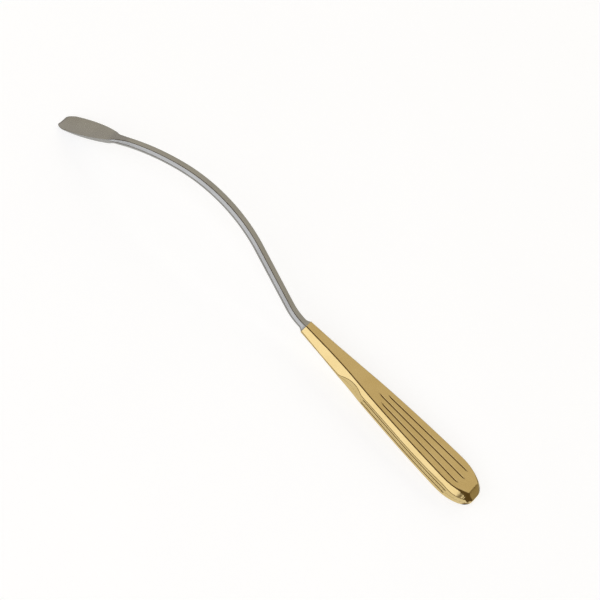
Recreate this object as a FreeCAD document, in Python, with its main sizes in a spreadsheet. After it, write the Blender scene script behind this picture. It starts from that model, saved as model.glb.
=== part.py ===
import FreeCAD, Part
import math
import os

import Sketcher

# Long S-shaped periosteal elevator: a forged blade and shank, set in a hollow, faceted, fluted handle.
#
# The piece is drawn along its handle axis: the handle's front face is at x = 0, the butt is at +x, the
# blade is at -x, +y is across the handle and +z is its upper face. It is then laid down on a level
# surface, on the edge of its tip and the end of its lower face, with the origin under its middle.
# Lengths are in millimetres and angles in degrees.

SIZES = (
    # Handle, seen from the side: two slightly wedged faces, rolled over into a steep nose.
    ("handle_length", 102.6),
    ("neck_length", 25.0),
    ("face_end", 95.5),
    ("nose_start", 98.4),
    ("front_half_height", 2.48),
    ("neck_half_height", 3.55),
    ("face_end_half_height", 4.25),
    ("nose_half_height", 4.0),
    ("nose_radius", 20.0),
    ("end_half_height", 0.95),
    # Handle, seen from above: the neck, a scooped waist, the grip and the pointed corners of the butt.
    ("front_half_width", 4.0),
    ("waist_start", 24.6),
    ("waist_start_half_width", 6.5),
    ("waist_end", 37.0),
    ("waist_end_half_width", 6.72),
    ("waist_radius", 16.0),
    ("grip_start", 60.0),
    ("grip_start_half_width", 8.5),
    ("grip_widest", 85.0),
    ("grip_half_width", 9.5),
    ("grip_radius", 320.0),
    ("corner_start", 90.0),
    ("corner_radius", 15.8),
    ("end_half_width", 3.2),
    # Half widths, on the middle plane, of the four 45 degree bevels carried on until they meet.
    ("bevel_front", 4.4),
    ("bevel_neck_at", 14.0),
    ("bevel_neck", 5.65),
    ("bevel_body_at", 40.0),
    ("bevel_body", 8.85),
    ("bevel_widest_at", 86.0),
    ("bevel_widest", 12.02),
    ("bevel_radius", 750.0),
    ("bevel_corner_radius", 22.0),
    ("bevel_nose", 9.0),
    ("bevel_nose_radius", 10.0),
    ("bevel_end", 3.3),
    # Hollow inside the handle, and the register of the nose piece in it.
    ("wall", 1.1),
    ("register_length", 3.0),
    ("vent_radius", 0.6),
    # Flutes in the upper and lower faces, and the finer grooves in the sides.
    ("flute_radius", 0.4),
    ("middle_flute_start", 42.0),
    ("middle_flute_end", 93.6),
    ("outer_flute_start", 45.4),
    ("outer_flute_end", 92.4),
    ("outer_flute_start_offset", 2.95),
    ("outer_flute_end_offset", 4.3),
    ("groove_start", 38.5),
    ("groove_end", 91.5),
    ("groove_height", 0.95),
    ("groove_width", 0.6),
    ("groove_depth", 0.3),
    # Shank: a flattened octagon on a path of straight and round runs, flared where it meets the handle.
    ("shank_half_width", 2.62),
    ("shank_half_height", 1.6),
    ("shank_bevel", 1.24),
    ("collar_length", 1.85),
    ("collar_half_width", 3.85),
    ("collar_half_height", 2.33),
    ("collar_bevel", 2.0),
    ("rise_radius", 22.9),
    ("rise_angle", 24.0),
    ("rise_length", 29.0),
    ("arch_radius", 61.2),
    ("shoulder_angle", 21.4),
    ("drop_radius", 96.0),
    ("blade_angle", 37.6),
    # Blade, from the end of the shank's last bend: a leaf that thins to a blunt, straight working edge.
    ("blade_length", 34.7),
    ("blade_root_half_width", 2.7),
    ("blade_flare_at", 6.3),
    ("blade_flare_half_width", 2.95),
    ("blade_shoulder_at", 13.0),
    ("blade_shoulder_half_width", 4.82),
    ("blade_side_radius", 60.0),
    ("blade_corner_at", 31.4),
    ("blade_corner_half_width", 5.35),
    ("blade_edge_half_width", 3.85),
    ("blade_face_at", 9.0),
    ("blade_face_height", 0.9),
    ("blade_face_edge_height", 0.75),
    ("blade_back_at", 14.0),
    ("blade_back_height", -0.55),
    ("blade_back_edge_height", 0.35),
    ("blade_bevel_end", 6.5),
    ("blade_bevel_end_half_width", 3.25),
    ("blade_bevel_runout", 9.0),
    ("blade_bevel_runout_half_width", 4.9),
    ("blade_rim", 1.0),
    # Tang inside the neck, its brazing bush and its cross pin.
    ("tang_radius", 1.3),
    ("tang_length", 24.0),
    ("bush_radius", 1.9),
    ("bush_length", 22.0),
    ("pin_radius", 0.6),
    ("pin_length", 3.4),
    ("pin_at", 14.0),
)

AXIS_X = FreeCAD.Vector(1, 0, 0)
AXIS_Y = FreeCAD.Vector(0, 1, 0)
AXIS_Z = FreeCAD.Vector(0, 0, 1)
FLAT = FreeCAD.Rotation()                                   # sketch x and y run along x and y
UPRIGHT = FreeCAD.Rotation(AXIS_X, 90)                      # sketch x and y run along x and z
ACROSS = FreeCAD.Rotation(FreeCAD.Vector(1, 1, 1), 120)     # sketch x and y run along y and z
REACH = 30.0                                                # further out than any wall of the handle
BEVEL_REACH = 9.0                                           # along a bevel, past the middle plane and faces

doc = FreeCAD.newDocument("elevator")
sizes = doc.addObject("Spreadsheet::Sheet", "sizes")
for row, (alias, value) in enumerate(SIZES, start=1):
    sizes.set("A%d" % row, alias)
    sizes.set("B%d" % row, str(value))
    sizes.setAlias("B%d" % row, alias)
doc.recompute()


def size(formula):
    """The number that a formula of the sheet's cells gives."""
    return float(sizes.evalExpression(formula))


def add(kind, name, placement=None, **formulas):
    """A new object whose named properties are bound to formulas of the sheet's cells."""
    piece = doc.addObject(kind, name)
    piece.Label = name
    for prop, formula in formulas.items():
        piece.setExpression(prop, formula)
    if placement:
        piece.Placement = placement
    return piece


def arc_between(start, end, radius, side):
    """The short arc from start to end, turning to the left (+1) or to the right (-1)."""
    chord = end - start
    rise = math.sqrt(radius ** 2 - (chord.Length / 2) ** 2)
    left = FreeCAD.Vector(-chord.y, chord.x, 0).normalize()
    centre = (start + end) / 2 + left * rise * side
    first, last = (start, end) if side > 0 else (end, start)
    angles = [math.atan2(point.y - centre.y, point.x - centre.x) for point in (first, last)]
    return Part.ArcOfCircle(Part.Circle(centre, AXIS_Z, radius), *angles)


def sketch(name, placement, corners, bends, closed=True):
    """Runs through the corners, each straight (None) or an arc (radius formula, side)."""
    drawing = add("Sketcher::SketchObject", name, placement)
    points = [FreeCAD.Vector(size(x), size(y), 0) for x, y in corners]
    ends = []
    for index, bend in enumerate(bends):
        start, end = points[index], points[(index + 1) % len(points)]
        if bend is None:
            drawing.addGeometry(Part.LineSegment(start, end))
            ends.append((1, 2))
            continue
        formula, side = bend
        drawing.addGeometry(arc_between(start, end, size(formula), side))
        ends.append((1, 2) if side > 0 else (2, 1))
        bound = drawing.addConstraint(Sketcher.Constraint("Radius", index, size(formula)))
        drawing.setExpression("Constraints[%d]" % bound, formula)
    for index in range(len(bends) if closed else len(bends) - 1):
        following = (index + 1) % len(bends)
        drawing.addConstraint(Sketcher.Constraint(
            "Coincident", index, ends[index][1], following, ends[following][0]))
    for corner, (x, y) in enumerate(corners):
        index, end = (corner, ends[corner][0]) if corner < len(bends) else (corner - 1, ends[-1][1])
        for direction, formula in (("DistanceX", x), ("DistanceY", y)):
            bound = drawing.addConstraint(Sketcher.Constraint(
                direction, -1, 1, index, end, size(formula)))
            drawing.setExpression("Constraints[%d]" % bound, formula)
    return drawing


def mirrored_sketch(name, placement, corners, bends):
    """A closed outline from its half on the upper side of sketch x, run left to right."""
    lower = [(x, "-(%s)" % y) for x, y in reversed(corners)]
    runs = list(bends) + [None] + list(reversed(bends)) + [None]
    return sketch(name, placement, list(corners) + lower, runs)


def at(x=0.0, y=0.0, z=0.0, rotation=FLAT):
    return FreeCAD.Placement(FreeCAD.Vector(x, y, z), rotation)


def extrusion(name, profile, direction, length):
    """A solid that runs the same length both ways from its profile."""
    solid = add("Part::Extrusion", name, LengthFwd=length, LengthRev=length)
    solid.Base = profile
    solid.DirMode = "Custom"
    solid.Dir = FreeCAD.Vector(*direction)
    solid.Solid = True
    return solid


def common(name, *pieces):
    result = add("Part::MultiCommon", name)
    result.Shapes = list(pieces)
    return result


def fuse(name, *pieces):
    result = add("Part::MultiFuse", name)
    result.Shapes = list(pieces)
    return result


def cut(name, base, tool):
    result = add("Part::Cut", name)
    result.Base = base
    result.Tool = tool
    return result


def slab(name, start, end, bottom, top):
    """A block from start to end along the handle, wider than it, between two heights."""
    block = add("Part::Box", name, Length="(%s) - (%s)" % (end, start), Width="%g" % (2 * REACH),
                Height="(%s) - (%s)" % (top, bottom))
    block.Placement = at(size(start), -REACH, size(bottom))
    return block


def rod(name, radius, length, placement):
    return add("Part::Cylinder", name, placement, Radius=radius, Height=length)


def plan_outline(name, inset):
    """The handle's side walls, seen from above, moved in by the inset."""
    corners = [
        ("0", "sizes.front_half_width"),
        ("sizes.waist_start", "sizes.waist_start_half_width"),
        ("sizes.waist_end", "sizes.waist_end_half_width"),
        ("sizes.grip_start", "sizes.grip_start_half_width"),
        ("sizes.grip_widest", "sizes.grip_half_width"),
        ("sizes.corner_start", "sizes.grip_half_width"),
        ("sizes.handle_length", "sizes.end_half_width"),
    ]
    bends = [
        None,
        ("sizes.waist_radius + %s" % inset, 1),
        None,
        ("sizes.grip_radius - %s" % inset, -1),
        None,
        ("sizes.corner_radius - %s" % inset, -1),
    ]
    return mirrored_sketch(name, at(), [(x, "%s - %s" % (y, inset)) for x, y in corners], bends)


def bevel_outline(name, inset):
    """Where the 45 degree bevels would meet the middle plane, moved in square to the bevels."""
    corners = [
        ("0", "sizes.bevel_front"),
        ("sizes.bevel_neck_at", "sizes.bevel_neck"),
        ("sizes.bevel_body_at", "sizes.bevel_body"),
        ("sizes.bevel_widest_at", "sizes.bevel_widest"),
        ("sizes.nose_start", "sizes.bevel_nose"),
        ("sizes.handle_length", "sizes.bevel_end"),
    ]
    bends = [
        None,
        None,
        ("sizes.bevel_radius", -1),
        ("sizes.bevel_corner_radius", -1),
        ("sizes.bevel_nose_radius", -1),
    ]
    moved = [(x, "%s - %s * sqrt(2)" % (y, inset)) for x, y in corners]
    return mirrored_sketch(name, at(), moved, bends)


def faceted_bar(name, side, inset):
    """The handle's eight-sided form: side view, plan and both pairs of bevels, all at once."""
    plan = plan_outline(name + "_plan", inset)
    bevel = bevel_outline(name + "_bevel", inset)
    return common(
        name,
        extrusion(name + "_side_walls", plan, (0, 0, 1), "%g" % REACH),
        extrusion(name + "_faces", side, (0, 1, 0), "%g" % REACH),
        extrusion(name + "_left_bevels", bevel, (0, 1, 1), "%g" % BEVEL_REACH),
        extrusion(name + "_right_bevels", bevel, (0, -1, 1), "%g" % BEVEL_REACH),
    )


def handle_form():
    corners = [
        ("0", "sizes.front_half_height"),
        ("sizes.neck_length", "sizes.neck_half_height"),
        ("sizes.face_end", "sizes.face_end_half_height"),
        ("sizes.nose_start", "sizes.nose_half_height"),
        ("sizes.handle_length", "sizes.end_half_height"),
    ]
    bends = [None, None, None, ("sizes.nose_radius", -1)]
    return faceted_bar("form", mirrored_sketch("form_side", at(rotation=UPRIGHT), corners, bends), "0")


def cavity_form():
    corners = [
        ("sizes.neck_length", "sizes.neck_half_height - sizes.wall"),
        ("sizes.face_end", "sizes.face_end_half_height - sizes.wall"),
        ("sizes.nose_start", "sizes.nose_half_height - sizes.wall"),
    ]
    side = mirrored_sketch("cavity_side", at(rotation=UPRIGHT), corners, [None, None])
    return faceted_bar("cavity", side, "sizes.wall")


def flute(name, start, end, start_offset, end_offset, side):
    """A round-bottomed flute, half sunk in the wedged upper (+1) or lower (-1) face."""
    wedge = (size("sizes.face_end_half_height - sizes.neck_half_height")
             / size("sizes.face_end - sizes.neck_length"))
    ends = []
    for x, y in ((size(start), start_offset), (size(end), end_offset)):
        height = size("sizes.neck_half_height") + wedge * (x - size("sizes.neck_length"))
        ends.append(FreeCAD.Vector(x, y, side * height))
    run = ends[1] - ends[0]
    return rod(name, "sizes.flute_radius", "%.6f" % run.Length,
               FreeCAD.Placement(ends[0], FreeCAD.Rotation(AXIS_Z, run)))


def face_flutes(name, side):
    """The middle flute and the two outer ones, which spread with the face."""
    cutters = [flute(name + "_middle_flute", "sizes.middle_flute_start", "sizes.middle_flute_end",
                     0.0, 0.0, side)]
    for hand, label in ((1, "left"), (-1, "right")):
        cutters.append(flute("%s_%s_flute" % (name, label),
                             "sizes.outer_flute_start", "sizes.outer_flute_end",
                             hand * size("sizes.outer_flute_start_offset"),
                             hand * size("sizes.outer_flute_end_offset"), side))
    return cutters


def side_grooves(name, side):
    """One fine groove along each side wall, following its outline."""
    low, high = sorted((side * size("sizes.groove_height - sizes.groove_width / 2"),
                        side * size("sizes.groove_height + sizes.groove_width / 2")))
    strip = slab(name + "_groove_strip", "sizes.groove_start", "sizes.groove_end",
                 "%g" % low, "%g" % high)
    core = extrusion(name + "_groove_floor", plan_outline(name + "_groove_plan", "sizes.groove_depth"),
                     (0, 0, 1), "%g" % REACH)
    return cut(name + "_grooves", strip, core)


def half_shell(name, side, form, cavity):
    """The upper (+1) or lower (-1) half of the handle, pressed and joined on the middle plane."""
    bottom, top = ("0", "%g" % REACH) if side > 0 else ("-%g" % REACH, "0")
    outside = common(name + "_outside", form, slab(name + "_half", "0", "sizes.nose_start", bottom, top))
    bore = rod(name + "_neck_bore", "sizes.bush_radius", "sizes.neck_length",
               at(rotation=FreeCAD.Rotation(AXIS_Z, AXIS_X)))
    tools = fuse(name + "_tools", cavity, bore, side_grooves(name, side), *face_flutes(name, side))
    return cut(name, outside, tools)


def butt_cap(form, cavity):
    """The crowned nose piece, with a register that closes the hollow and a drilled vent."""
    nose = common("nose", form, slab("nose_half", "sizes.nose_start", "sizes.handle_length",
                                     "-%g" % REACH, "%g" % REACH))
    register = common("register", cavity,
                      slab("register_half", "sizes.nose_start - sizes.register_length",
                           "sizes.nose_start", "-%g" % REACH, "%g" % REACH))
    vent = vent_rod("vent_hole")
    return cut("butt_cap", fuse("solid_cap", nose, register), vent)


def vent_rod(name):
    start = size("sizes.nose_start - sizes.register_length")
    return rod(name, "sizes.vent_radius",
               "sizes.handle_length - sizes.nose_start + sizes.register_length",
               at(x=start, rotation=FreeCAD.Rotation(AXIS_Z, AXIS_X)))


def octagon(name, x, half_width, half_height, bevel):
    """A flattened octagon with 45 degree bevels, square to the handle axis."""
    corners = [
        ("-(%s)" % half_width, "%s - %s" % (half_height, bevel)),
        ("-(%s - %s)" % (half_width, bevel), half_height),
        ("%s - %s" % (half_width, bevel), half_height),
        (half_width, "%s - %s" % (half_height, bevel)),
    ]
    return mirrored_sketch(name, at(x=x, rotation=ACROSS), corners, [None, None, None])


def shank_path():
    """The S of the shank: up from the handle, over the arch and down to the blade."""
    x, z = "-sizes.collar_length", "0"
    corners = [(x, z)]
    x += " - sizes.rise_radius * sin(sizes.rise_angle)"
    z += " + sizes.rise_radius * (1 - cos(sizes.rise_angle))"
    corners.append((x, z))
    x += " - sizes.rise_length * cos(sizes.rise_angle)"
    z += " + sizes.rise_length * sin(sizes.rise_angle)"
    corners.append((x, z))
    x += " - sizes.arch_radius * (sin(sizes.rise_angle) + sin(sizes.shoulder_angle))"
    z += " + sizes.arch_radius * (cos(sizes.shoulder_angle) - cos(sizes.rise_angle))"
    corners.append((x, z))
    x += " - sizes.drop_radius * (sin(sizes.blade_angle) - sin(sizes.shoulder_angle))"
    z += " + sizes.drop_radius * (cos(sizes.blade_angle) - cos(sizes.shoulder_angle))"
    corners.append((x, z))
    bends = [("sizes.rise_radius", -1), None, ("sizes.arch_radius", 1), ("sizes.drop_radius", 1)]
    path = sketch("shank_path", at(rotation=UPRIGHT), corners, bends, closed=False)
    edges = ["Edge%d" % (number + 1) for number in range(len(bends))]
    return (path, edges), FreeCAD.Vector(size(x), 0, size(z))


def blade(root):
    """The leaf-shaped blade: its outline, its taper from the side, and the shank's bevels that run out."""
    lie = FreeCAD.Rotation(AXIS_Y, -size("sizes.blade_angle")) * FreeCAD.Rotation(AXIS_Z, 180)
    flat, upright = FreeCAD.Placement(root, lie), FreeCAD.Placement(root, lie * UPRIGHT)
    outline = mirrored_sketch("blade_outline", flat, [
        ("0", "sizes.blade_root_half_width"),
        ("sizes.blade_flare_at", "sizes.blade_flare_half_width"),
        ("sizes.blade_shoulder_at", "sizes.blade_shoulder_half_width"),
        ("sizes.blade_corner_at", "sizes.blade_corner_half_width"),
        ("sizes.blade_length", "sizes.blade_edge_half_width"),
    ], [None, None, ("sizes.blade_side_radius", -1), None])
    bevel = mirrored_sketch("blade_bevel", flat, [
        ("0", "sizes.shank_half_width + sizes.shank_half_height - sizes.shank_bevel"),
        ("sizes.blade_bevel_end", "sizes.blade_bevel_end_half_width"),
        ("sizes.blade_bevel_runout", "sizes.blade_bevel_runout_half_width"),
        ("sizes.blade_shoulder_at", "sizes.blade_shoulder_half_width + sizes.blade_rim"),
        ("sizes.blade_corner_at", "sizes.blade_corner_half_width + sizes.blade_rim"),
        ("sizes.blade_length", "sizes.blade_edge_half_width + sizes.blade_rim"),
    ], [None, None, None, ("sizes.blade_side_radius + sizes.blade_rim", -1), None])
    taper = sketch("blade_taper", upright, [
        ("0", "sizes.shank_half_height"),
        ("sizes.blade_face_at", "sizes.blade_face_height"),
        ("sizes.blade_length", "sizes.blade_face_edge_height"),
        ("sizes.blade_length", "sizes.blade_back_edge_height"),
        ("sizes.blade_back_at", "sizes.blade_back_height"),
        ("0", "-sizes.shank_half_height"),
    ], [None] * 6)
    return common(
        "blade",
        extrusion("blade_sides", outline, lie.multVec(AXIS_Z), "%g" % REACH),
        extrusion("blade_faces", taper, AXIS_Y, "%g" % REACH),
        extrusion("blade_left_bevels", bevel, lie.multVec(AXIS_Z + AXIS_Y), "%g" % BEVEL_REACH),
        extrusion("blade_right_bevels", bevel, lie.multVec(AXIS_Z - AXIS_Y), "%g" % BEVEL_REACH),
    )


def blade_shank():
    """One forging: blade, shank, flared collar and the round tang that the neck holds."""
    spine, root = shank_path()
    section = octagon("shank_section", -size("sizes.collar_length"),
                      "sizes.shank_half_width", "sizes.shank_half_height", "sizes.shank_bevel")
    flare = octagon("collar_section", 0.0,
                    "sizes.collar_half_width", "sizes.collar_half_height", "sizes.collar_bevel")
    shank = add("Part::Sweep", "shank")
    shank.Sections = [section]
    shank.Spine = spine
    shank.Solid = True
    collar = add("Part::Loft", "collar")
    collar.Sections = [section, flare]
    collar.Solid = True
    collar.Ruled = True
    tang = rod("tang", "sizes.tang_radius", "sizes.tang_length",
               at(rotation=FreeCAD.Rotation(AXIS_Z, AXIS_X)))
    return cut("blade_shank", fuse("forging", shank, collar, tang, blade(root)), cross_pin("tang_hole"))


def cross_pin(name):
    """The pin through the bush and the tang, or its hole."""
    return rod(name, "sizes.pin_radius", "sizes.pin_length",
               at(x=size("sizes.pin_at"), y=-size("sizes.pin_length") / 2,
                  rotation=FreeCAD.Rotation(AXIS_Z, AXIS_Y)))


def neck_bush():
    """The brazing bush that centres the tang in the neck, with its pin hole."""
    along = at(rotation=FreeCAD.Rotation(AXIS_Z, AXIS_X))
    outside = rod("bush_outside", "sizes.bush_radius", "sizes.bush_length", along)
    bore = rod("bush_bore", "sizes.tang_radius", "sizes.bush_length", along)
    return cut("neck_bush", outside, fuse("bush_holes", bore, cross_pin("bush_pin_hole")))


def rest_placement(pieces):
    """Lays the piece on its tip's edge and on the end of its lower face, with the origin under it."""
    tip = min((vertex.Point for vertex in pieces[0].Shape.Vertexes), key=lambda point: point.z)
    reach = FreeCAD.Vector(size("sizes.face_end"), 0, -size("sizes.face_end_half_height")) - tip
    tilt = math.degrees(math.atan2(reach.z, reach.x))
    turned = FreeCAD.Placement(FreeCAD.Vector(), FreeCAD.Rotation(AXIS_Y, tilt))
    shapes = [piece.Shape.transformed(turned.toMatrix()) for piece in pieces]
    box = Part.makeCompound(shapes).optimalBoundingBox(False, False)
    turned.Base = FreeCAD.Vector(-(box.XMin + box.XMax) / 2, 0, -box.ZMin)
    return turned


def check(objects):
    for piece in objects:
        if "Invalid" in piece.State or "Error" in piece.State:
            raise RuntimeError("%s failed: %s" % (piece.Label, piece.State))


form = handle_form()
cavity = cavity_form()
pieces = [
    blade_shank(),
    neck_bush(),
    cross_pin("tang_pin"),
    half_shell("shell_upper", 1, form, cavity),
    half_shell("shell_lower", -1, form, cavity),
    butt_cap(form, cavity),
    vent_rod("vent_plug"),
]
doc.recompute()
check(doc.Objects)

rest = rest_placement(pieces)
for piece in pieces:
    piece.Placement = rest.multiply(piece.Placement)
doc.recompute()
check(doc.Objects)

os.makedirs("parts", exist_ok=True)
for piece in pieces:
    if piece.Shape.isNull() or not piece.Shape.isValid():
        raise RuntimeError("%s has no valid shape" % piece.Label)
    piece.Shape.exportStep("parts/%s.step" % piece.Label)
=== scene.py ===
import math

import bpy
from mathutils import Matrix, Vector


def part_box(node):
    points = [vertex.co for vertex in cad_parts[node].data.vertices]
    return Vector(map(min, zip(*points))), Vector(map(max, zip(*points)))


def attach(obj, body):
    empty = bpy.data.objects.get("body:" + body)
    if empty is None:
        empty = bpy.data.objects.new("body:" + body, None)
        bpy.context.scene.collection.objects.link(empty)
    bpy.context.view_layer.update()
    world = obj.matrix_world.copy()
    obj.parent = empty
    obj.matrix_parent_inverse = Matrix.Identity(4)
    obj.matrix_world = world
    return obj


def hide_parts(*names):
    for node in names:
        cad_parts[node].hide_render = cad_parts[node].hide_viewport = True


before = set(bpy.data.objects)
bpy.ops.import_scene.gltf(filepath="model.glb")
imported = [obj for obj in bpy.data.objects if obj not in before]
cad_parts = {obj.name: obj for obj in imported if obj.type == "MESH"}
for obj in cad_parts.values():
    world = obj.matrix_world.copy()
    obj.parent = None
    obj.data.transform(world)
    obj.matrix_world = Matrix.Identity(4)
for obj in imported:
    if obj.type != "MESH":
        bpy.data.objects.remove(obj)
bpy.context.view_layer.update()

# A long S-shaped periosteal elevator: satin steel blade and shank in a gold-plated, fluted handle.
#
# Its shapes are drawn in millimetres along the handle's own axis: x = 0 is the handle's front face, +x its
# butt, -x the blade, +z its upper face. WORLD then carries them to where the CAD model holds the handle.

MM = 0.001
HALF_TURN = math.tan(math.radians(22.5))      # tangent length of a 45 degree fillet, in radii
SHARP_ANGLE = math.radians(32)                # edges that turn by more than this stay crisp

# Handle, as the CAD model has it: half heights, side walls, and bevels carried on to the middle plane.
NECK_LENGTH = 25.0
FACE_END = 95.5
NOSE_START = 98.4
HANDLE_LENGTH = 102.6
WALL = 1.1
BUSH_RADIUS = 1.9
BUSH_LENGTH = 22.0
REGISTER_START = 95.4
VENT_RADIUS = 0.6
HALF_HEIGHT = ((0, 2.48, None), (NECK_LENGTH, 3.55, None), (FACE_END, 4.25, None), (NOSE_START, 4.0, None))
NOSE_HEIGHT = ((NOSE_START, 4.0, -20.0), (HANDLE_LENGTH, 0.95, None))
SIDE_WALL = ((0, 4.0, None), (24.6, 6.5, 16.0), (37, 6.72, None), (60, 8.5, -320.0), (85, 9.5, None),
             (90, 9.5, -15.8), (HANDLE_LENGTH, 3.2, None))
BEVEL = ((0, 4.4, None), (14, 5.65, None), (40, 8.85, -750.0), (86, 12.02, -22.0), (NOSE_START, 9.0, -10.0),
         (HANDLE_LENGTH, 3.3, None))
FACE_FILLET = 0.95
CORNER_FILLET = 4.4                           # the face fillet once it has grown round the butt's corners
SIDE_FILLET = 0.8
FRONT_ROUNDING = 0.16
END_ROUNDING = 0.4
SEAM = 0.04
FACE_EASE = 5.0                               # how far the corners of the outlines are eased on either side
SIDE_EASE = 1.0
SIDE_EASE_BUTT = 0.3
BEVEL_EASE = 2.0
BUTT_START = 90.0                             # where the side walls start to turn in
SWELL_START = 92.0                            # where the face fillet starts to grow
FULL_FILLET_HEIGHT = 2.4                      # half height below which the face fillet shrinks
CORNER_RUN = 7.4                              # length of the closer stations before the nose
CORNER_STEPS = 46
STRAIGHT_STEPS = 170
NOSE_STEPS = 16
END_STEPS = 6

# Flutes in the faces and fine grooves in the sides.
MIDDLE_FLUTE = (42.0, 93.6)
OUTER_FLUTE = (45.4, 92.4)
OUTER_OFFSET = (2.95, 4.3)
FLUTE_HALF_WIDTH = 0.45
FLUTE_DEPTH = 0.42
GROOVE = (38.5, 91.5)
GROOVE_HEIGHT = 0.95
GROOVE_HALF_WIDTH = 0.3
GROOVE_DEPTH = 0.22
GROOVE_ROOM = 1.45                            # height of side wall that the grooves need
FLUTE_ROOM = 3.2                              # half width of face that the flutes need
RUN_OUT = 1.8
FLUTE_STEPS = (1.5, 1.15, 1.0, 0.8, 0.6, 0.4, 0.2, 0, -0.2, -0.4, -0.6, -0.8, -1.0, -1.15, -1.5)
GROOVE_STEPS = (-1.2, -1, -0.7, -0.35, 0, 0.35, 0.7, 1, 1.2)

# Shank: a flattened octagon on runs of (length in mm, turn in degrees) from the handle to the blade.
COLLAR_LENGTH = 1.85
SHANK_RUNS = ((22.9, 24.0), (29.0, 0.0), (61.2, -45.4), (96.0, -16.2))
SHANK = (2.62, 1.6, 0.36)
COLLAR = (3.85, 2.33, 0.33)
SHANK_FILLET = 0.55
TANG_RADIUS = 1.3
TANG_LENGTH = 24.0
TANG_CHAMFER = 0.4

# Blade, from the end of the shank's last bend.
BLADE_LENGTH = 34.7
BLADE_HALF_WIDTH = ((0, 2.62, None), (6.3, 2.95, None), (13, 4.82, -60.0), (31.4, 5.35, None),
                    (33.7, 4.25, None), (BLADE_LENGTH, 3.1, None))
BLADE_BEVEL = ((0, 2.98, None), (6.5, 3.25, None), (9, 4.9, None), (13, 5.82, -61.0), (31.4, 6.35, None),
               (BLADE_LENGTH, 4.85, None))
BLADE_FACE = ((0, 1.6, None), (9, 0.9, None), (BLADE_LENGTH, 0.75, None))
BLADE_BACK = ((0, -1.6, None), (14, -0.55, None), (BLADE_LENGTH, 0.35, None))
BLADE_CHAMFER = 0.1
EDGE_ROUNDING = 0.1
DISH = (9.0, 18.0, 0.12)                      # start, full depth and depth of the hollow upper face
DISH_SHARE = 0.93                             # of the half width that is hollowed

# The camera's place, seen square to the handle axis, and how the handle lies in its picture.
CAMERA_ROLL = 42.0                            # degrees from the handle's upper face towards -y
CAMERA_SLOPE = 45.57                          # degrees that the handle axis runs down in the picture
CAMERA_AIM = (-9.8, 6.15)                     # middle of the picture, along the axis and up across it
PICTURE_WIDTH = 255.0
LENS = 200.0
SENSOR = 36.0

# The studio, in metres: soft boxes are (name, place, size, radiance, colour, reflected in the metal or not).
FLOOR_SIZE = 60.0
FLOOR_STEPS = 12
FLOOR_DROP = 0.00005
WHITE = (1.0, 1.0, 1.0)
COOL = (0.89, 0.935, 1.0)
SOFT_BOXES = (
    ("near_box", (-0.90, -1.9, 1.5), (6.2, 1.6), 1.55, COOL, True),
    ("glint_box", (3.30, -1.9, 1.5), (0.8, 1.6), 1.55, COOL, True),
    ("far_box", (-0.65, 1.9, 1.25), (5.2, 2.0), 0.71, (1.0, 0.972, 0.845), True),
    ("low_box", (-2.3, 2.0, 0.12), (2.6, 0.43), 0.62, WHITE, True),
    ("end_box", (2.0, 1.8, 0.25), (1.8, 0.9), 0.31, (1.0, 0.95, 0.68), True),
    ("floor_light", (0, 0, 2.2), (1.6, 1.6), 0.5, WHITE, False),
)
PALE_BELOW = (1.05, 1.05, 1.0)
DARK_ABOVE = (0.14, 0.10, 0.045)
WORLD_BLEND = (-0.35, -0.15)                  # heights between which one turns to the other
BRUSH_DEPTH = 0.00002


def handle_matrix():
    """Handle millimetres to world metres, from the bush in the neck and the plug in the butt."""
    bush, plug = (sum(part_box(node), Vector()) / 2 for node in ("neck_bush", "vent_plug"))
    along = (plug - bush).normalized()
    across = Vector((0, 1, 0))
    front = bush - along * BUSH_LENGTH / 2 * MM
    turn = Matrix((along, across, along.cross(across))).transposed()
    return Matrix.Translation(front) @ turn.to_4x4() @ Matrix.Scale(MM, 4)


WORLD = handle_matrix()


# ---------------------------------------------------------------- outlines and sections

def clamp(value, low, high):
    return min(max(value, low), high)


def smooth_step(value):
    value = clamp(value, 0.0, 1.0)
    return value * value * (3 - 2 * value)


def mix(low, high, share):
    return low + (high - low) * share


def outline(corners, x, inset=0.0):
    """Height at x of a line through the corners; a run is straight or an arc, hollow (+) or crowned (-)."""
    x = clamp(x, corners[0][0], corners[-1][0])
    for (x0, y0, radius), (x1, y1, _) in zip(corners, corners[1:]):
        if x <= x1:
            break
    if radius is None:
        return mix(y0, y1, (x - x0) / (x1 - x0)) - inset
    side = math.copysign(1, radius)
    radius = abs(radius) + inset * side
    chord = math.hypot(x1 - x0, y1 - y0)
    rise = side * math.sqrt(max(radius ** 2 - chord ** 2 / 4, 0))
    middle_x = (x0 + x1) / 2 - (y1 - y0) / chord * rise
    middle_y = (y0 + y1) / 2 + (x1 - x0) / chord * rise
    return middle_y - side * math.sqrt(max(radius ** 2 - (x - middle_x) ** 2, 0)) - inset


def soft(corners, x, reach):
    """The outline with its corners eased over the reach on either side."""
    return sum(weight * outline(corners, x + step * reach)
               for step, weight in ((-1, 0.1), (-0.5, 0.2), (0, 0.4), (0.5, 0.2), (1, 0.1)))


def fillet(corner_y, corner_z, radius, first_angle, steps):
    """Points round a 45 degree turn between two sides of a section."""
    reach = radius * HALF_TURN
    start, end = math.radians(first_angle), math.radians(first_angle + 45)
    centre_y = corner_y - radius * math.cos(start) + reach * math.sin(start)
    centre_z = corner_z - radius * math.sin(start) - reach * math.cos(start)
    return [(centre_y + radius * math.cos(mix(start, end, step / steps)),
             centre_z + radius * math.sin(mix(start, end, step / steps))) for step in range(steps + 1)]


def quarter(side, bevel, height, low_radius, high_radius, steps):
    """A section's rounded corners from the side wall, over the bevel, to the face: two runs of points."""
    low = fillet(side, bevel - side, low_radius, 0, steps)
    high = fillet(bevel - height, height, high_radius, 45, steps)
    return low, high


def run_out(x, span):
    return smooth_step((x - span[0]) / RUN_OUT) * smooth_step((span[1] - x) / RUN_OUT)


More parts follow.
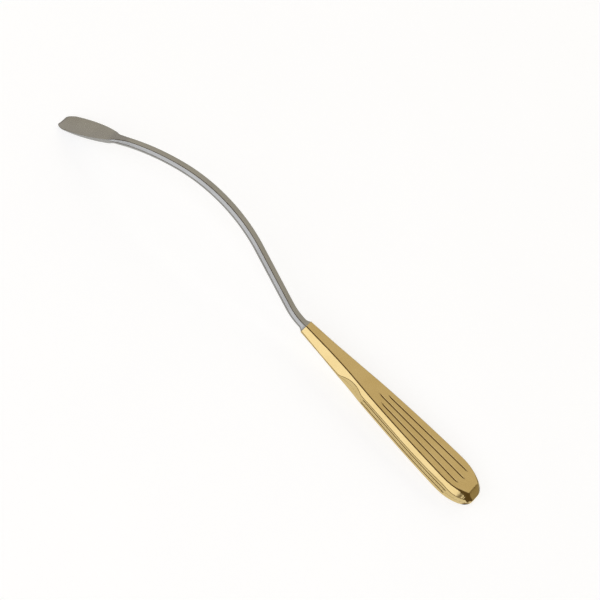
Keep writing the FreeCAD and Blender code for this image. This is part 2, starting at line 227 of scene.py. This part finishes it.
def hollow(offset, half_width):
    """Depth, 0 to 1, across a round-bottomed groove with eased lips."""
    return math.cos(min(abs(offset) / half_width, 1) * math.pi / 2) ** 1.5


# ---------------------------------------------------------------- handle

def handle_section(x, inset=0.0):
    """One quarter of the handle's outside at x, from its seam up to its middle: (y, z, recess)."""
    corners = NOSE_HEIGHT if x > NOSE_START else HALF_HEIGHT
    height = soft(corners, x, clamp(FACE_END - x, 0.0, FACE_EASE)) - inset
    side = soft(SIDE_WALL, x, SIDE_EASE if x < BUTT_START else SIDE_EASE_BUTT) - inset
    bevel = (soft(BEVEL, x, BEVEL_EASE) if x < BUTT_START else outline(BEVEL, x)) - inset * math.sqrt(2)
    swell = clamp((x - SWELL_START) / (NOSE_START - SWELL_START), 0, 1) ** 2
    face_radius = mix(FACE_FILLET, CORNER_FILLET, swell) * min(1, height / FULL_FILLET_HEIGHT)
    low, high = quarter(side, bevel, height, SIDE_FILLET * min(1, (bevel - side) / 0.5), face_radius, 5)

    points = [(side - SEAM, 0.0, 0.0), (side, SEAM * 1.5, 0.0)]
    room = min(1.0, low[0][1] / GROOVE_ROOM)
    for step in GROOVE_STEPS:
        offset = step * GROOVE_HALF_WIDTH
        recess = hollow(offset, GROOVE_HALF_WIDTH) * run_out(x, GROOVE)
        points.append((side - recess * GROOVE_DEPTH, (GROOVE_HEIGHT + offset) * room, recess))
    points += [(y, z, 0.0) for y, z in low + high]

    edge = high[-1][0]
    start, end = OUTER_FLUTE
    offset = mix(*OUTER_OFFSET, (clamp(x, start, end) - start) / (end - start))
    on_face = clamp(x, start, BUTT_START)
    share = offset / (soft(BEVEL, on_face, BEVEL_EASE) - soft(HALF_HEIGHT, on_face, FACE_EASE))
    outer = min(share * (bevel - height + inset * (math.sqrt(2) - 1)), edge * 0.6)
    squeeze = min(1.0, edge / FLUTE_ROOM)
    points.append((edge - 0.1 * squeeze, height, 0.0))
    for centre, span, steps in ((outer, OUTER_FLUTE, FLUTE_STEPS), (0.0, MIDDLE_FLUTE, FLUTE_STEPS[:8])):
        depth = run_out(x, span)
        half_width = FLUTE_HALF_WIDTH * squeeze * mix(0.3, 1.0, depth)
        for step in steps:
            recess = hollow(step, 1.0) * depth
            points.append((centre + step * half_width, height - recess * FLUTE_DEPTH, recess))
    return points


def cavity_section(x, count):
    """One quarter of the handle's inside, with as many points as the outside has."""
    if x <= NECK_LENGTH:
        return [(BUSH_RADIUS * math.cos(math.pi / 2 * i / (count - 1)),
                 BUSH_RADIUS * math.sin(math.pi / 2 * i / (count - 1)), 0.0) for i in range(count)]
    height = outline(HALF_HEIGHT, x) - WALL
    side = outline(SIDE_WALL, x, WALL)
    bevel = outline(BEVEL, x) - WALL * math.sqrt(2)
    corners = ((side, 0.0), (side, bevel - side), (bevel - height, height), (0.0, height))
    lengths = [math.dist(a, b) for a, b in zip(corners, corners[1:])]
    points = []
    for i in range(count):
        along = sum(lengths) * i / (count - 1)
        for (a, b), length in zip(zip(corners, corners[1:]), lengths):
            if along <= length or b is corners[-1]:
                break
            along -= length
        share = min(along / length, 1.0)
        points.append((mix(a[0], b[0], share), mix(a[1], b[1], share), 0.0))
    return points


def half_ring(x, points, side):
    """The quarter and its mirror image as one row over the upper (+1) or under the lower (-1) face."""
    row = [(x, y, side * z, recess) for y, z, recess in points]
    return row + [(x, -y, z, recess) for _, y, z, recess in reversed(row[:-1])]


def full_ring(x, points):
    """The quarter and its three mirror images as one closed loop."""
    upper = half_ring(x, points, 1)
    return upper + [(x, y, -z, recess) for _, y, z, recess in reversed(upper[1:-1])]


def handle_stations():
    """Places along the shells, closer where they end and where the corners of the butt turn in."""
    front, corners = 0.4, NOSE_START - CORNER_RUN
    stations = [0.0, 0.06, FRONT_ROUNDING]
    stations += [front + (corners - front) * i / STRAIGHT_STEPS for i in range(STRAIGHT_STEPS)]
    stations += [NOSE_START - CORNER_RUN * math.cos(math.pi / 2 * i / CORNER_STEPS)
                 for i in range(CORNER_STEPS)]
    stations += [NOSE_START - 0.0004, NOSE_START]
    return [x for x in stations if abs(x - NECK_LENGTH) > 0.2] + [NECK_LENGTH, NECK_LENGTH + 0.01]


def front_inset(x):
    """The front rim's small rounding and the hairline where the shells meet the butt."""
    rim = FRONT_ROUNDING * (1 - math.sqrt(max(0, 1 - (1 - min(x / FRONT_ROUNDING, 1)) ** 2)))
    return rim + SEAM * smooth_step(1 - abs(x - NOSE_START) / (2 * SEAM))


def handle_shell(name, side):
    outer, inner = [], []
    for x in sorted(handle_stations()):
        section = handle_section(x, front_inset(x))
        outer.append(half_ring(x, section, side))
        inner.append(half_ring(x, cavity_section(x, len(section)), side))
    return thick_sheet(name, outer, inner, side < 0)


def nose_stations():
    stations = [NOSE_START + 0.02, NOSE_START + SEAM, NOSE_START + 2 * SEAM]
    straight = HANDLE_LENGTH - END_ROUNDING - stations[-1]
    stations += [NOSE_START + 2 * SEAM + straight * (i + 1) / NOSE_STEPS for i in range(NOSE_STEPS)]
    start = HANDLE_LENGTH - END_ROUNDING
    stations += [start + END_ROUNDING * math.sin(math.pi / 2 * (i + 1) / END_STEPS) for i in range(END_STEPS)]
    return stations


def nose_inset(x):
    turn = max(0.0, (x - HANDLE_LENGTH + END_ROUNDING) / END_ROUNDING)
    end = END_ROUNDING * (1 - math.sqrt(max(0.0, 1 - turn ** 2)))
    return end + SEAM * smooth_step(1 - abs(x - NOSE_START) / (2 * SEAM))


def butt_cap(name):
    """The nose, its register inside the shells and the vent through both, as one closed skin."""
    rings = [full_ring(x, handle_section(x, nose_inset(x))) for x in nose_stations()]
    count = len(handle_section(NOSE_START))
    vent = [(VENT_RADIUS * math.cos(math.pi / 2 * i / (count - 1)),
             VENT_RADIUS * math.sin(math.pi / 2 * i / (count - 1)), 0.0) for i in range(count)]
    end = rings[-1]
    hole = full_ring(HANDLE_LENGTH, vent)
    rings += [[tuple(mix(p, q, share) for p, q in zip(a, b)) for a, b in zip(end, hole)]
              for share in (0.15, 0.5, 0.9)]
    rings += [hole, full_ring(REGISTER_START, vent)]
    rings += [full_ring(x, cavity_section(x, count)) for x in (REGISTER_START, NOSE_START)]
    return tube(name, rings, closed=True)


# ---------------------------------------------------------------- blade and shank

def shank_path(step=0.8):
    """Stations from the handle's front along the S to the blade's edge: (distance, point, direction)."""
    place, heading = Vector((-COLLAR_LENGTH, 0)), 0.0
    stations = [(COLLAR_LENGTH * share, Vector((-COLLAR_LENGTH * share, 0)), 0.0)
                for share in (0, 0.05, 0.15, 0.3, 0.45, 0.6, 0.8, 1.0)]
    travelled = COLLAR_LENGTH
    for size, turn in SHANK_RUNS + ((BLADE_LENGTH, 0.0),):
        turn = math.radians(turn)
        length = size * abs(turn) if turn else size
        steps = math.ceil(length / step)
        start, start_heading = place.copy(), heading
        for i in range(1, steps + 1):
            share = i / steps
            heading = start_heading + turn * share
            if turn:
                radius = size * math.copysign(1, turn)
                place = start + radius * Vector((-(math.sin(heading) - math.sin(start_heading)),
                                                 math.cos(start_heading) - math.cos(heading)))
            else:
                place = start + length * share * Vector((-math.cos(heading), math.sin(heading)))
            stations.append((travelled + length * share, place, heading))
        travelled += length
    return stations, travelled


def shank_profile(distance, length):
    """Half width, half height, half height of the side wall and lift off the path at a distance."""
    blade = distance - (length - BLADE_LENGTH)
    if distance < COLLAR_LENGTH:
        flare = (1 - distance / COLLAR_LENGTH) ** 1.3
        return *(mix(a, b, flare) for a, b in zip(SHANK, COLLAR)), 0.0
    if blade < -1:
        return *SHANK, 0.0
    ease = 1.0 if blade < 30 else 0.5
    face, back = soft(BLADE_FACE, blade, ease), soft(BLADE_BACK, blade, ease)
    height = (face - back) / 2
    bevel = soft(BLADE_BEVEL, blade, ease)
    side = min(soft(BLADE_HALF_WIDTH, blade, ease), bevel - 0.1)
    return side, height, min(bevel - side, height - BLADE_CHAMFER), (face + back) / 2


def dish(blade, y, half_width):
    """Depth of the blade's hollow upper face."""
    depth = DISH[2] * smooth_step((blade - DISH[0]) / (DISH[1] - DISH[0]))
    return depth * max(0.0, 1 - (y / (half_width * DISH_SHARE)) ** 2)


def shank_section(distance, length, inset=0.0):
    """The section's full loop in its own plane: (y, z)."""
    half_width, half_height, rim, lift = shank_profile(distance, length)
    blade = distance - (length - BLADE_LENGTH)
    half_width, half_height, rim = half_width - inset, half_height - inset, max(rim - inset, 0.02)
    bevel = half_width + rim
    room = max(min(half_height - rim, half_width * 0.8), 0.02)
    radius = min(SHANK_FILLET, room * 0.9)
    low, high = quarter(half_width, bevel, half_height, min(radius, rim * 2), radius, 4)
    points = [(half_width, 0.0)] + low + high
    edge, columns = high[-1][0], 9
    points += [(edge * (1 - (i + 1) / columns), half_height) for i in range(columns)]
    upper = points + [(-y, z) for y, z in reversed(points[:-1])]
    lower = [(y, -z) for y, z in reversed(upper[1:-1])]
    if blade > DISH[0]:
        upper = [(y, z - dish(blade, y, half_width) * smooth_step(2 * z / half_height)) for y, z in upper]
    return [(y, z + lift) for y, z in upper + lower]


def blade_and_shank(name):
    """Tang, collar, S-shaped shank and leaf blade as one closed skin of loops."""
    stations, length = shank_path()
    rings = []
    for distance, place, heading in stations:
        inset = EDGE_ROUNDING if distance > length - 0.001 else 0.0
        rings.append([(place.x + z * math.sin(heading), y, place.y + z * math.cos(heading), 0.0)
                      for y, z in shank_section(distance, length, inset)])
    angles = [math.atan2(p[2], p[1]) for p in rings[0]]
    for x, radius in ((0.0, TANG_RADIUS), (TANG_LENGTH - TANG_CHAMFER, TANG_RADIUS),
                      (TANG_LENGTH, TANG_RADIUS - TANG_CHAMFER)):
        rings.insert(0, [(x, radius * math.cos(a), radius * math.sin(a), 0.0) for a in angles])
    # Taken from the blade to the tang, along +x as tube expects, so that the skin faces outwards.
    return tube(name, rings[::-1], closed=False)


# ---------------------------------------------------------------- meshes

def new_piece(name, points, faces):
    """A smooth mesh in the world frame that keeps how deep each point lies in a groove."""
    mesh = bpy.data.meshes.new(name)
    mesh.from_pydata([p[:3] for p in points], [], faces)
    recess = mesh.attributes.new("recess", "FLOAT", "POINT")
    recess.data.foreach_set("value", [p[3] for p in points])
    lay = mesh.attributes.new("lay", "FLOAT_VECTOR", "POINT")
    lay.data.foreach_set("vector", [value for p in points for value in p[:3]])
    mesh.transform(WORLD)
    mesh.shade_smooth()
    mesh.set_sharp_from_angle(angle=SHARP_ANGLE)
    mesh.validate()
    piece = bpy.data.objects.new(name, mesh)
    bpy.context.scene.collection.objects.link(piece)
    return piece


def grid_faces(rows, columns, offset=0, wrap_rows=False, wrap_columns=False):
    faces = []
    for i in range(rows if wrap_rows else rows - 1):
        for j in range(columns if wrap_columns else columns - 1):
            a, b = i * columns + j, i * columns + (j + 1) % columns
            c, d = ((i + 1) % rows) * columns + (j + 1) % columns, ((i + 1) % rows) * columns + j
            faces.append((offset + a, offset + b, offset + c, offset + d))
    return faces


def tube(name, rings, closed):
    """A skin through closed loops that run along +x, joined end to start or capped at both ends."""
    count = len(rings[0])
    faces = grid_faces(len(rings), count, wrap_rows=closed, wrap_columns=True)
    if not closed:
        last = (len(rings) - 1) * count
        faces += [tuple(range(count - 1, -1, -1)), tuple(range(last, last + count))]
    return new_piece(name, [p for ring in rings for p in ring], faces)


def thick_sheet(name, outer, inner, flip):
    """A solid between two grids of rows, closed along all four borders."""
    rows, columns = len(outer), len(outer[0])
    below = rows * columns
    faces = grid_faces(rows, columns)
    faces += [tuple(reversed(face)) for face in grid_faces(rows, columns, below)]
    for i in range(rows - 1):
        for j, turned in ((0, False), (columns - 1, True)):
            a, b = i * columns + j, (i + 1) * columns + j
            rim = (a, b, below + b, below + a)
            faces.append(tuple(reversed(rim)) if turned else rim)
    for j in range(columns - 1):
        for i, turned in ((0, True), (rows - 1, False)):
            a, b = i * columns + j, i * columns + j + 1
            rim = (a, b, below + b, below + a)
            faces.append(tuple(reversed(rim)) if turned else rim)
    if flip:
        faces = [tuple(reversed(face)) for face in faces]
    return new_piece(name, [p for row in outer + inner for p in row], faces)


# ---------------------------------------------------------------- materials

def node_material(name):
    material = bpy.data.materials.new(name)
    material.use_nodes = True
    tree = material.node_tree
    shader = tree.nodes["Principled BSDF"]
    return material, tree, shader


def add_node(tree, kind, **settings):
    node = tree.nodes.new(kind)
    for key, value in settings.items():
        setattr(node, key, value)
    return node


def noise(tree, vector, scale, stretch, detail, roughness=0.55):
    """Noise from a mapping of the vector, stretched per axis."""
    mapping = add_node(tree, "ShaderNodeMapping")
    mapping.inputs["Scale"].default_value = stretch
    tree.links.new(vector, mapping.inputs["Vector"])
    texture = add_node(tree, "ShaderNodeTexNoise")
    texture.inputs["Scale"].default_value = scale
    texture.inputs["Detail"].default_value = detail
    texture.inputs["Roughness"].default_value = roughness
    tree.links.new(mapping.outputs["Vector"], texture.inputs["Vector"])
    return texture.outputs["Fac"]


def spread(tree, value, low, high, from_low=0.0, from_high=1.0):
    node = add_node(tree, "ShaderNodeMapRange")
    for socket, number in (("From Min", from_low), ("From Max", from_high), ("To Min", low), ("To Max", high)):
        node.inputs[socket].default_value = number
    tree.links.new(value, node.inputs["Value"])
    return node.outputs["Result"]


def combine(tree, operation, first, second):
    node = add_node(tree, "ShaderNodeMath", operation=operation)
    for socket, value in zip(node.inputs, (first, second)):
        if isinstance(value, (int, float)):
            socket.default_value = value
        else:
            tree.links.new(value, socket)
    return node.outputs["Value"]


def blend_colours(tree, share, first, second):
    node = add_node(tree, "ShaderNodeMix", data_type="RGBA")
    tree.links.new(share, node.inputs["Factor"])
    for socket, value in ((node.inputs[6], first), (node.inputs[7], second)):
        if isinstance(value, tuple):
            socket.default_value = (*value, 1.0)
        else:
            tree.links.new(value, socket)
    return node.outputs[2]


def metal(name, bright, dull, groove_shade_colour, roughness, brushing, attribute="lay", unit=1.0):
    """Satin metal: brushed along x, with faint cross marks, clouding, tiny pits and grooves darkened with
    painted shade.
    """
    material, tree, shader = node_material(name)
    if attribute:
        coordinates = add_node(tree, "ShaderNodeAttribute", attribute_name=attribute).outputs["Vector"]
    else:
        coordinates = add_node(tree, "ShaderNodeTexCoord").outputs["Object"]
    recess = add_node(tree, "ShaderNodeAttribute", attribute_name="recess").outputs["Fac"]
    along = noise(tree, coordinates, 6.0 * unit, (0.03, 1.0, 1.0), 4)
    across = noise(tree, coordinates, 4.0 * unit, (1.0, 0.12, 0.12), 3)
    cloud = noise(tree, coordinates, 0.11 * unit, (1.0, 1.0, 1.0), 3)
    pits = noise(tree, coordinates, 9.0 * unit, (1.0, 1.0, 1.0), 2)

    tone = spread(tree, cloud, 0.0, 1.0, 0.35, 0.65)
    streak = spread(tree, along, 0.0, 1.0, 0.3, 0.7)
    shade = combine(tree, "ADD", combine(tree, "MULTIPLY", tone, 0.6),
                    combine(tree, "MULTIPLY", streak, 0.4))
    colour = blend_colours(tree, shade, dull, bright)
    # Painted shade: points deep in the grooves and flutes turn towards the dark recess colour, fully from 40%
    # of their depth. The same mask also roughens them.
    groove_shade_mask = spread(tree, recess, 0.0, 1.0, 0.02, 0.4)
    colour = blend_colours(tree, groove_shade_mask, colour, groove_shade_colour)
    tree.links.new(colour, shader.inputs["Base Color"])

    rough = combine(tree, "ADD", spread(tree, streak, roughness - 0.03, roughness + 0.04),
                    spread(tree, pits, -0.015, 0.03, 0.3, 0.7))
    rough = combine(tree, "ADD", rough, combine(tree, "MULTIPLY", groove_shade_mask, 0.25))
    tree.links.new(rough, shader.inputs["Roughness"])

    height = combine(tree, "ADD", along, combine(tree, "MULTIPLY", across, 0.35))
    height = combine(tree, "ADD", height, combine(tree, "MULTIPLY", pits, 0.25))
    bump = add_node(tree, "ShaderNodeBump")
    bump.inputs["Strength"].default_value = brushing
    bump.inputs["Distance"].default_value = BRUSH_DEPTH
    tree.links.new(height, bump.inputs["Height"])
    tree.links.new(bump.outputs["Normal"], shader.inputs["Normal"])
    shader.inputs["Metallic"].default_value = 1.0
    return material


def floor_material():
    """A plain pale sheet with the slightest mottling."""
    material, tree, shader = node_material("pale_sheet")
    coordinates = add_node(tree, "ShaderNodeTexCoord").outputs["Object"]
    mottle = noise(tree, coordinates, 14.0, (1.0, 1.0, 1.0), 3)
    colour = blend_colours(tree, mottle, (0.42, 0.42, 0.43), (0.45, 0.45, 0.46))
    tree.links.new(colour, shader.inputs["Base Color"])
    shader.inputs["Roughness"].default_value = 0.95
    shader.inputs["Specular IOR Level"].default_value = 0.0
    shader.inputs["Emission Color"].default_value = (0.985, 0.99, 1.0, 1.0)
    shader.inputs["Emission Strength"].default_value = 0.755
    return material


# ---------------------------------------------------------------- the object

# Painted shade: dark colours that the flutes and side grooves are darkened towards, standing in for the shade
# that falls in them.
GOLD_GROOVE_SHADE = (0.11, 0.055, 0.012)
STEEL_GROOVE_SHADE = (0.1, 0.1, 0.1)
GOLD = metal("gold_plate", (0.64, 0.49, 0.235), (0.58, 0.43, 0.19), GOLD_GROOVE_SHADE, 0.15, 0.25)
STEEL = metal("satin_steel", (0.375, 0.37, 0.365), (0.33, 0.325, 0.32), STEEL_GROOVE_SHADE, 0.22, 0.25)
PLUG_GOLD = metal("plug_gold_plate", (0.62, 0.47, 0.22), (0.5, 0.37, 0.16), GOLD_GROOVE_SHADE,
                  0.28, 0.4, attribute=None, unit=1 / MM)
TURNED = metal("turned_steel", (0.42, 0.42, 0.42), (0.32, 0.32, 0.32), STEEL_GROOVE_SHADE,
               0.35, 0.5, attribute=None, unit=1 / MM)

PIECES = (
    (blade_and_shank("blade_and_shank"), "blade_shank", STEEL, "satin_steel"),
    (handle_shell("handle_shell_upper", 1), "shell_upper", GOLD, "gold_plate"),
    (handle_shell("handle_shell_lower", -1), "shell_lower", GOLD, "gold_plate"),
    (butt_cap("handle_butt"), "butt_cap", GOLD, "gold_plate"),
)
for piece, node, material, slot in PIECES:
    piece.data.materials.append(material)
    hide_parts(node)
    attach(piece, "root")

for node, material in (("vent_plug", PLUG_GOLD), ("neck_bush", TURNED), ("tang_pin", TURNED)):
    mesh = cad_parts[node].data
    mesh.materials.clear()
    mesh.materials.append(material)


# ---------------------------------------------------------------- floor, light and camera

def floor():
    mesh = bpy.data.meshes.new("floor")
    across = [FLOOR_SIZE * (i / FLOOR_STEPS - 0.5) for i in range(FLOOR_STEPS + 1)]
    points = [(x, y, -FLOOR_DROP) for x in across for y in across]
    faces = [tuple(reversed(face)) for face in grid_faces(FLOOR_STEPS + 1, FLOOR_STEPS + 1)]
    mesh.from_pydata(points, [], faces)
    mesh.materials.append(floor_material())
    sheet = bpy.data.objects.new("floor", mesh)
    sheet.visible_glossy = False
    bpy.context.scene.collection.objects.link(sheet)


def soft_box(name, place, size, radiance, colour, seen_by_metal):
    """A rectangular light of size (width along x, height) that faces the object, square to the x axis."""
    light = bpy.data.lights.new(name, "AREA")
    light.shape = "RECTANGLE"
    light.size, light.size_y = size
    light.energy = radiance * size[0] * size[1] * math.pi
    light.color = colour
    lamp = bpy.data.objects.new(name, light)
    lamp.location = place
    lamp.rotation_mode = "QUATERNION"
    lamp.rotation_quaternion = Vector((0, place[1], place[2])).to_track_quat("Z", "Y")
    lamp.visible_camera = False
    lamp.visible_glossy = seen_by_metal
    bpy.context.scene.collection.objects.link(lamp)


def studio():
    for box in SOFT_BOXES:
        soft_box(*box)

    world = bpy.data.worlds.new("studio")
    world.use_nodes = True
    tree = world.node_tree
    background = tree.nodes["Background"]
    direction = add_node(tree, "ShaderNodeTexCoord").outputs["Generated"]
    parts = add_node(tree, "ShaderNodeSeparateXYZ")
    tree.links.new(direction, parts.inputs["Vector"])
    height = spread(tree, parts.outputs["Z"], 0.0, 1.0, *WORLD_BLEND)
    colour = blend_colours(tree, height, PALE_BELOW, DARK_ABOVE)
    tree.links.new(colour, background.inputs["Color"])
    background.inputs["Strength"].default_value = 1.0
    bpy.context.scene.world = world


def camera():
    """Looks square to the handle axis, from its -y side, with a long lens."""
    roll, slope = math.radians(CAMERA_ROLL), math.radians(CAMERA_SLOPE)
    along = Vector((1, 0, 0))
    back = Vector((0, -math.sin(roll), math.cos(roll)))
    across = Vector((0, math.cos(roll), math.sin(roll)))
    right = along * math.cos(slope) + across * math.sin(slope)
    up = across * math.cos(slope) - along * math.sin(slope)
    distance = PICTURE_WIDTH / SENSOR * LENS
    place = along * CAMERA_AIM[0] + across * CAMERA_AIM[1] + back * distance
    turn = WORLD.to_3x3().normalized() @ Matrix((right, up, back)).transposed()
    data = bpy.data.cameras.new("camera")
    data.lens, data.sensor_width = LENS, SENSOR
    data.clip_start, data.clip_end = 0.1, 20.0
    eye = bpy.data.objects.new("camera", data)
    eye.matrix_world = Matrix.Translation(WORLD @ place) @ turn.to_4x4()
    bpy.context.scene.collection.objects.link(eye)
    bpy.context.scene.camera = eye


floor()
studio()
camera()
bpy.context.scene.view_settings.view_transform = "Standard"
